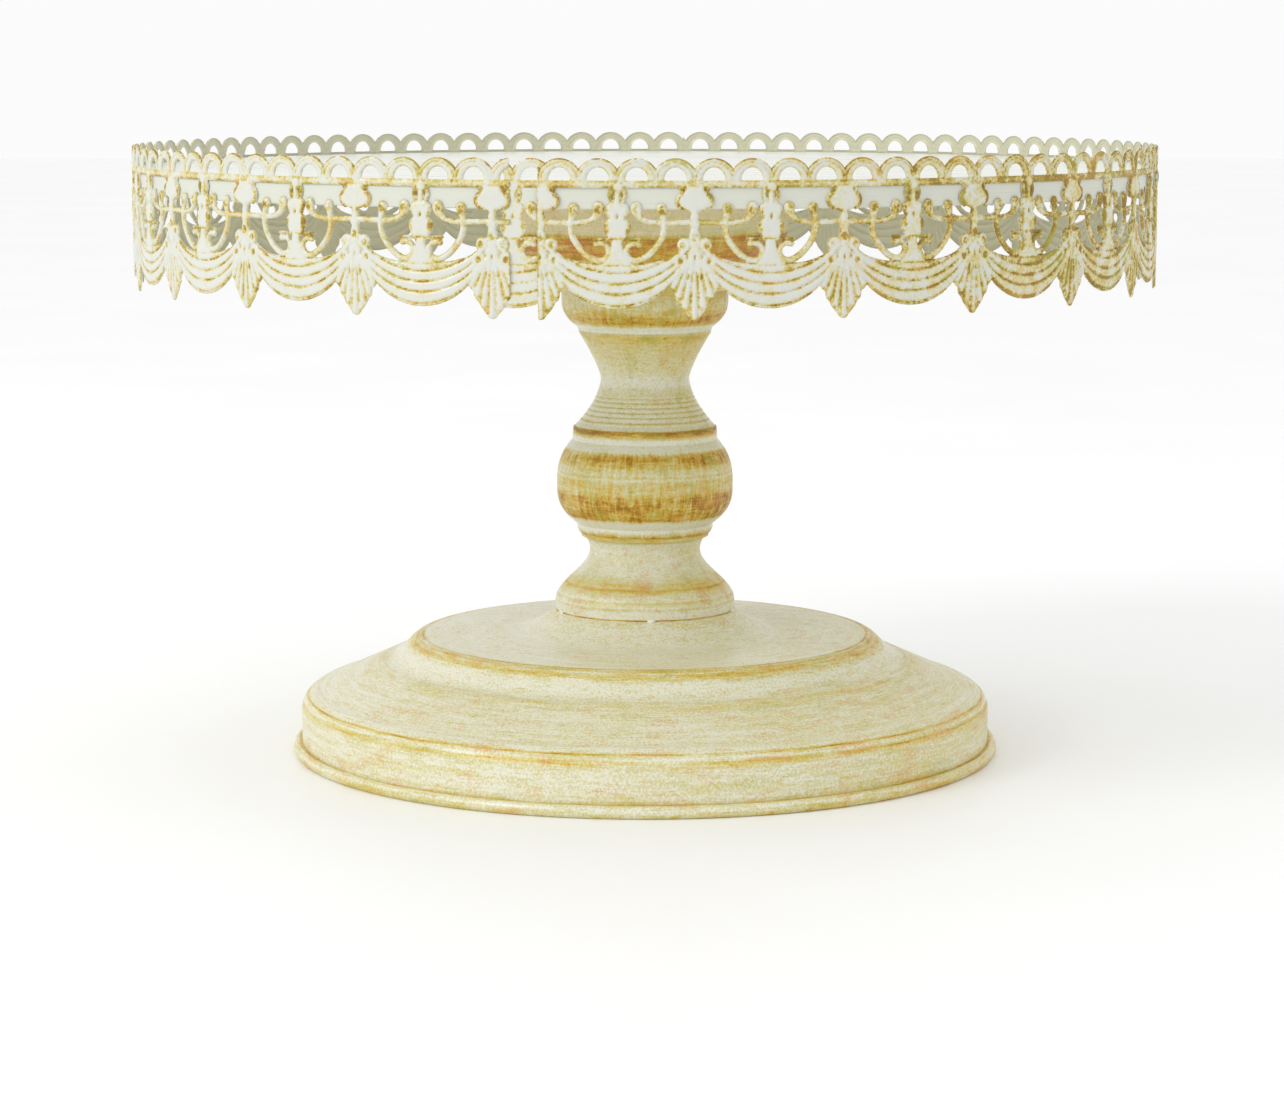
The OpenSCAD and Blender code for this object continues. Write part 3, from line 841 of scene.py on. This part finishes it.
def add_fan(pattern, at):
    """The fluted leaf fan that hangs between two swags."""
    fan = [(-6.6, 151.8), (-6.6, 150.4), (-5.9, 149.4), (-5.1, 148.9), (-4.9, 147.2), (-3.9, 146.2),
           (-3.3, 145.0), (-2.6, 144.1), (-1.6, 143.0), (-0.9, 142.0), (0, 141.7), (0.9, 142.0),
           (1.6, 143.0), (2.6, 144.1), (3.3, 145.0), (3.9, 146.2), (4.9, 147.2), (5.1, 148.9),
           (5.9, 149.4), (6.6, 150.4), (6.6, 151.8), (4.8, 157.5), (3.6, 162.2), (0, 163.4),
           (-3.6, 162.2), (-4.8, 157.5)]
    pattern.add(pattern.area(moved(fan, at)), 0.9, 0.4, 0.6)
    for foot_x, foot_z, root_x in FLUTES:
        for side in (-1, 1) if foot_x else (1,):
            middle = (side * (root_x + foot_x) / 2, (156.0 + foot_z) / 2, 0.75)
            flute = [(side * root_x, 156.0, 0.4), middle, (side * foot_x, foot_z, 0.9)]
            pattern.add(pattern.line(moved(flute, at)), 0.85, 0.9)
    for tip_x, tip_z, width in LEAVES:
        for side in (-1, 1):
            middle = (side * tip_x * 0.6, (tip_z + 157) / 2, width)
            leaf = [(side * 0.5, 158.0, 0.9), middle, (side * tip_x, tip_z, width * 0.8)]
            pattern.add(pattern.line(moved(leaf, at)), 0.9, 1.0)


def add_drop(pattern, at):
    """The urn, flower and leaf fan on the line between two repeats."""
    add_urn(pattern, at)
    add_fan(pattern, at)
    for lobe_x, lobe_z, lobe_r in LOBES:
        for side in (-1, 1):
            pattern.add(pattern.disc(at + side * lobe_x, lobe_z, lobe_r), 1.1, 1.0)
    pattern.add(pattern.disc(at, 163.4, 1.5), 1.0, 1.0, 0.2)
    pattern.add(pattern.disc(at, 159.0, 2.0), 1.0, 1.0)
    pattern.add(pattern.disc(at, 166.4, 1.5), 0.8, 1.0, 0.1)
    for side in (-1, 1):
        for pit_x, pit_z, a, b, depth in PITS:
            pattern.pit(pattern.oval(at + side * pit_x, pit_z, a, b), depth)
    pattern.pit(pattern.oval(at, 163.2, 1.0, 1.3), 0.4)
    pattern.pit(pattern.oval(at, 158.0, 0.4, 1.0), 0.6)


SCALLOP_R = 5.95
HOLE_A, HOLE_B = 2.95, 3.35  # half width and height of a scallop's hole
HOLE_FOOT = 177.75
RIDGE_TOP, RIDGE_FOOT = 177.65, 175.9


def add_border(pattern):
    """The scallops, their half-round holes and the ridge under them."""
    x, z = pattern.x, pattern.z
    scallop = PITCH / 4
    middle = (np.floor(x / scallop) + 0.5) * scallop
    radius = np.hypot(x - middle, z - (LACE_TOP - SCALLOP_R))
    band = np.maximum(radius - SCALLOP_R, RIDGE_FOOT - z)
    round_hole = (np.hypot((x - middle) / HOLE_A, (z - HOLE_FOOT) / HOLE_B) - 1) * HOLE_A
    hole = np.maximum(round_hole, HOLE_FOOT - z)
    pattern.outline = np.minimum(pattern.outline, band)
    pattern.cut(hole)
    groove = np.exp(-((radius - 4.85) / 0.22) ** 2)
    hole_edge = np.exp(-((hole - 0.35) / 0.35) ** 2)
    ridge_lines = 0.65 * np.exp(-((z - 177.45) / 0.24) ** 2) + np.exp(-((z - 176.15) / 0.26) ** 2)
    on_ridge = z < RIDGE_TOP
    height = np.where(on_ridge, 0.75 - 0.45 * ridge_lines, 0.85 - 0.35 * groove - 0.2 * hole_edge)
    glaze = np.where(on_ridge, 0.28 + 0.62 * ridge_lines, 0.45 * groove + 0.12 * hole_edge)
    from_valley = np.maximum(np.abs(x - np.round(x / scallop) * scallop) - 0.4, 0)
    glaze += 0.3 * np.exp(-(from_valley / 0.7) ** 2) * (np.exp(-((z - 179.6) / 1.3) ** 2))
    crest = pattern.relief * (z < RIDGE_TOP - 0.15) > height + 0.05
    shows = (band < 0) & ~crest
    pattern.relief = np.where(shows, height, pattern.relief)
    pattern.glaze = np.where(shows, glaze, pattern.glaze)
    pattern.beside_hole = hole < 0.8


def finish_edges(pattern):
    """Rolls the sheet's edge over, and lets glaze gather along it. On top of the scallops the edge is
    darkest: partly glaze, partly painted shade on the thin top edges.
    """
    edge = np.clip(-pattern.outline / 0.5, 0, 1)
    pattern.relief *= np.sqrt(1 - (1 - edge) ** 2)
    rim = np.exp(-(np.maximum(-pattern.outline, 0) / 0.33) ** 2)
    # Above 179 mm, on top of the scallops, the rim is darkest: partly glaze, partly painted shade on the
    # thin edges.
    share = np.where(pattern.beside_hole, 0.3, np.where(pattern.z > 179.0, 1.5, 0.72))
    pattern.glaze = np.maximum(pattern.glaze, rim * share)


def make_pattern():
    """All the fields of one repeat, on a grid with a vase in its middle."""
    heights = np.arange(math.floor((LACE_FOOT - 0.5) / CELL) * CELL, LACE_TOP + 2 * CELL, CELL)
    x, z = np.meshgrid((np.arange(CELLS) - CELLS // 2) * CELL, heights, indexing="ij")
    pattern = Pattern(x, z)
    add_swag(pattern)
    add_arms(pattern)
    add_vase(pattern)
    for at in (-HALF, HALF):
        add_drop(pattern, at)
    add_border(pattern)
    finish_edges(pattern)
    return heights, pattern


HEIGHTS, PATTERN = make_pattern()

# For each set of a cell's corners that are metal, the polygon: 0 to 3 are corners, 4 to 7 are cut edges.
CELL_CASES = {
    1: (0, 4, 7), 2: (1, 5, 4), 3: (0, 1, 5, 7), 4: (2, 6, 5), 5: (0, 4, 5, 2, 6, 7), 6: (1, 2, 6, 4),
    7: (0, 1, 2, 6, 7), 8: (3, 7, 6), 9: (0, 4, 6, 3), 10: (1, 5, 6, 3, 7, 4), 11: (0, 1, 5, 6, 3),
    12: (2, 3, 7, 5), 13: (0, 4, 5, 2, 3), 14: (1, 2, 3, 7, 4), 15: (0, 1, 2, 3)
}
FIRST_CUT_EDGE = 4
STRIP_EMBOSS, STRIP_SHEET = 0.75, 0.35
PATCH_EMBOSS, PATCH_SHEET = 0.3, 0.2
INSET = 0.1  # how far the lace stays inside the CAD lace
CLEAR = 0.03  # the outline keeps this far from the grid's corners, so that no face is a sliver


def strip_fields(start, end, vase, rivet):
    """A strip between two azimuths: the distance to its outline, and its x, z, relief and glaze."""
    first = math.floor((start - vase) * DEGREE / CELL) - 1
    last = math.ceil((end - vase) * DEGREE / CELL) + 1
    columns = np.arange(first, last + 1)
    local = (columns + CELLS // 2) % CELLS
    x = columns[:, None] * CELL
    uneven_cut = 0.12 * np.sin(HEIGHTS / 3.1)
    cut = np.maximum((start - vase) * DEGREE - x, x - (end - vase) * DEGREE) + uneven_cut
    outline = np.maximum(PATTERN.outline[local], cut)
    if rivet:
        azimuth, height = rivet
        outline = np.maximum(outline, HOLE_R - np.hypot(x - (azimuth - vase) * DEGREE, HEIGHTS - height))
    outline = np.where(np.abs(outline) < CLEAR, np.where(outline < 0, -CLEAR, CLEAR), outline)
    glaze_on_cut = 0.85 * np.exp(-(cut / 0.3) ** 2)
    return outline, [np.broadcast_to(x, outline.shape), np.broadcast_to(HEIGHTS, outline.shape),
                     PATTERN.relief[local], np.maximum(PATTERN.glaze[local], glaze_on_cut)]


def cell_polygons(outline):
    """The metal of each grid cell as polygons, and those of their sides that lie on the outline.

    A polygon's corner is a number: the grid point's own number, plus the count of points where it lies on
    the way to the next column, or twice the count where it lies on the way to the next row.
    """
    rows, count = outline.shape[1], outline.size
    corner = np.arange(count).reshape(outline.shape)[:-1, :-1]
    metal = outline < 0
    case = metal[:-1, :-1] * 1 + metal[1:, :-1] * 2 + metal[1:, 1:] * 4 + metal[:-1, 1:] * 8
    refs = np.stack([corner, corner + rows, corner + rows + 1, corner + 1, count + corner,
                     2 * count + corner + rows, count + corner + 1, 2 * count + corner], -1)
    polygons, rims = [], []
    for kind, shape in CELL_CASES.items():
        found = refs[case == kind]
        if len(found):
            polygons.append(found[:, shape])
            rims += [found[:, (a, b)] for a, b in zip(shape, shape[1:] + shape[:1])
                     if a >= FIRST_CUT_EDGE and b >= FIRST_CUT_EDGE]
    return polygons, rims


def at_corners(outline, fields, used):
    """The fields' values at the polygons' corners."""
    rows, count = outline.shape[1], outline.size
    distance = outline.ravel()
    kind, base = used // count, used % count
    other = np.where(kind == 1, base + rows, np.where(kind == 2, base + 1, base))
    other = np.minimum(other, count - 1)
    gap = distance[base] - distance[other]
    share = np.where(kind > 0, distance[base] / np.where(np.abs(gap) < 1e-9, 1, gap), 0.0)
    return [f.ravel()[base] * (1 - share) + f.ravel()[other] * share for f in fields]


def sheet_faces(polygons, rims, used, where):
    """Faces of a sheet's front, of its back and of the edge between them."""
    n = len(used)
    lookup = dict(zip(used.tolist(), range(n)))
    faces, at = [], 0
    for polygon in polygons:
        block = where.ravel()[at:at + polygon.size].reshape(polygon.shape)
        at += polygon.size
        faces += block.tolist() + (block[:, ::-1] + n).tolist()
    for rim in rims:
        for a, b in rim.tolist():
            a, b = lookup[a], lookup[b]
            faces.append([b, a, a + n, b + n])
    return faces


def lace_piece(name, node, start, end, vase, front_r, emboss, sheet, more_glaze, rivet=None):
    """A strip of lace between two azimuths, with a vase at azimuth `vase`, as a sheet of even thickness."""
    outline, fields = strip_fields(start, end, vase, rivet)
    polygons, rims = cell_polygons(outline)
    used, where = np.unique(np.concatenate([p.ravel() for p in polygons]), return_inverse=True)
    x, z, relief, glaze = at_corners(outline, fields, used)

    angle = np.radians(vase) + x / LACE_R
    slack = 0.06 * np.sin(angle * 9) + 0.05 * np.sin(angle * 23 + 1)
    front = front_r - emboss * (1 - relief) - INSET - slack
    points = [np.stack([r * np.sin(angle), -r * np.cos(angle), z], -1) for r in (front, front - sheet)]
    piece = new_object(name, np.vstack(points), sheet_faces(polygons, rims, used, where), 60)

    coat = piece.data.attributes.new("glaze", "FLOAT", "POINT")
    takes = np.clip(0.35 + glaze, 0, 1) * np.clip(1.2 - glaze, 0.15, 1)
    shown = glaze + more_glaze(np.degrees(angle)) * takes
    bare_back = np.full(len(used), -1.0)
    coat.data.foreach_set("value", np.concatenate([shown, bare_back]).astype(np.float32))
    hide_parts(node)
    return piece


RIGHT_CUT, LEFT_CUT = -10.56, -13.36
RIGHT_VASE, LEFT_VASE = 12.35, -22.7
RIGHT_END, LEFT_END = 175.1, -185.0
PATCH_VASE = -13.1
PATCH_START, PATCH_END = LEFT_CUT - 1.04, RIGHT_CUT + 1.06
PATCH_R = LACE_R - 0.75
RIVET_Z = (PLATE_Z + FLANGE_Z) / 2
RIVETS = {"right": 87.35, "left": -97.7}
HOLE_R = 1.6


def right_coat(azimuth):
    """The right strip was glazed more heavily towards its right side."""
    return 0.8 * np.clip((azimuth - 12) / 31, 0, 1.15)


def left_coat(azimuth):
    """The left strip was glazed a little more lightly towards its left side."""
    return -0.12 * np.clip((-azimuth - 15) / 30, 0, 1)


def make_lace():
    enamel = lace_enamel()
    strips = [
        lace_piece("lace_strip_right_embossed", "lace_strip_right", RIGHT_CUT, RIGHT_END, RIGHT_VASE,
                   LACE_R, STRIP_EMBOSS, STRIP_SHEET, right_coat, (RIVETS["right"], RIVET_Z)),
        lace_piece("lace_strip_left_embossed", "lace_strip_left", LEFT_END, LEFT_CUT, LEFT_VASE,
                   LACE_R, STRIP_EMBOSS, STRIP_SHEET, left_coat, (RIVETS["left"], RIVET_Z)),
        lace_piece("lace_patch_front_embossed", "lace_patch_front", PATCH_START, PATCH_END, PATCH_VASE,
                   PATCH_R, PATCH_EMBOSS, PATCH_SHEET, left_coat)]
    for strip in strips + [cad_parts[node] for node in ("lace_joint_strap", "lace_tacks")]:
        dress(strip, enamel)
    # The rivets are painted near black: painted shade for their hollow centres.
    dress(make_rivets(), rivet_painted_shade())


def make_rivets():
    """Two hollow rivets through the lace and the plate's flange."""
    profile = [(0.8, -2.2), (0.8, 1.55), (1.0, 1.75), (1.6, 1.8), (2.3, 1.6), (2.8, 1.25), (2.8, 1.2),
               (1.55, 1.2), (1.55, -1.0), (2.3, -1.0), (2.4, -1.3), (1.8, -2.0), (1.2, -2.2)]
    points, faces = [], []
    for azimuth in RIVETS.values():
        ring, quads = ring_points(profile, 28)
        angle = math.radians(azimuth)
        outwards = np.array([math.sin(angle), -math.cos(angle), 0])
        sideways = np.array([math.cos(angle), math.sin(angle), 0])
        up = np.array([0, 0, 1])
        centre = outwards * PLATE_R + up * RIVET_Z
        placed = centre + ring[:, 2:] * outwards + ring[:, :1] * sideways + ring[:, 1:2] * up
        faces += (quads[:, ::-1] + len(points) * len(ring)).tolist()
        points.append(placed)
    piece = new_object("lace_rivets_hollow", np.vstack(points), faces)
    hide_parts("lace_rivets")
    return piece


# ---- stage -------------------------------------------------------------------

FLOOR_HALF = 6  # metres
KEY_LIGHT = (-1.6, -1.1, 1.3)
KEY_AIM = (0, 0, 0.1)


def make_stage():
    """A plain pale floor."""
    shader = Shader("floor_paper")
    shader.finish(shader.ramp(shader.noise(geometry(shader), 6.0), PAPER_WHITES))
    mesh = bpy.data.meshes.new("floor")
    corners = [(-FLOOR_HALF, -FLOOR_HALF, 0), (FLOOR_HALF, -FLOOR_HALF, 0), (FLOOR_HALF, FLOOR_HALF, 0),
               (-FLOOR_HALF, FLOOR_HALF, 0)]
    mesh.from_pydata(corners, [], [(0, 1, 2, 3)])
    mesh.materials.append(shader.material)
    floor = bpy.data.objects.new("floor", mesh)
    bpy.context.collection.objects.link(floor)


def make_key_light():
    """A soft area light from the front left, above the plate."""
    data = bpy.data.lights.new("key", "AREA")
    data.size = 0.9
    data.energy = 15
    lamp = bpy.data.objects.new("key", data)
    lamp.location = KEY_LIGHT
    direction = np.array(KEY_AIM) - np.array(KEY_LIGHT)
    lamp.rotation_euler = (math.acos(-direction[2] / np.linalg.norm(direction)), 0,
                           math.atan2(direction[1], direction[0]) - math.pi / 2)
    bpy.context.collection.objects.link(lamp)


def make_lights():
    """An even white studio with one light that gives the shadows a direction."""
    world = bpy.data.worlds.new("studio")
    bpy.context.scene.world = world
    world.use_nodes = True
    sky = world.node_tree.nodes["Background"]
    sky.inputs["Color"].default_value = (1, 1, 1, 1)
    sky.inputs["Strength"].default_value = 0.97
    make_key_light()
    bpy.context.scene.view_settings.view_transform = "Standard"


make_stage()
make_lights()
make_base()
make_stem()
make_welds()
make_bowl()
make_plate()
make_lace()

STEEL = zinc_steel()
for node_name in ("hem_wire", "tie_rod", "base_washer", "spring_washer", "base_nut", "plate_boss"):
    dress(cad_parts[node_name], STEEL)
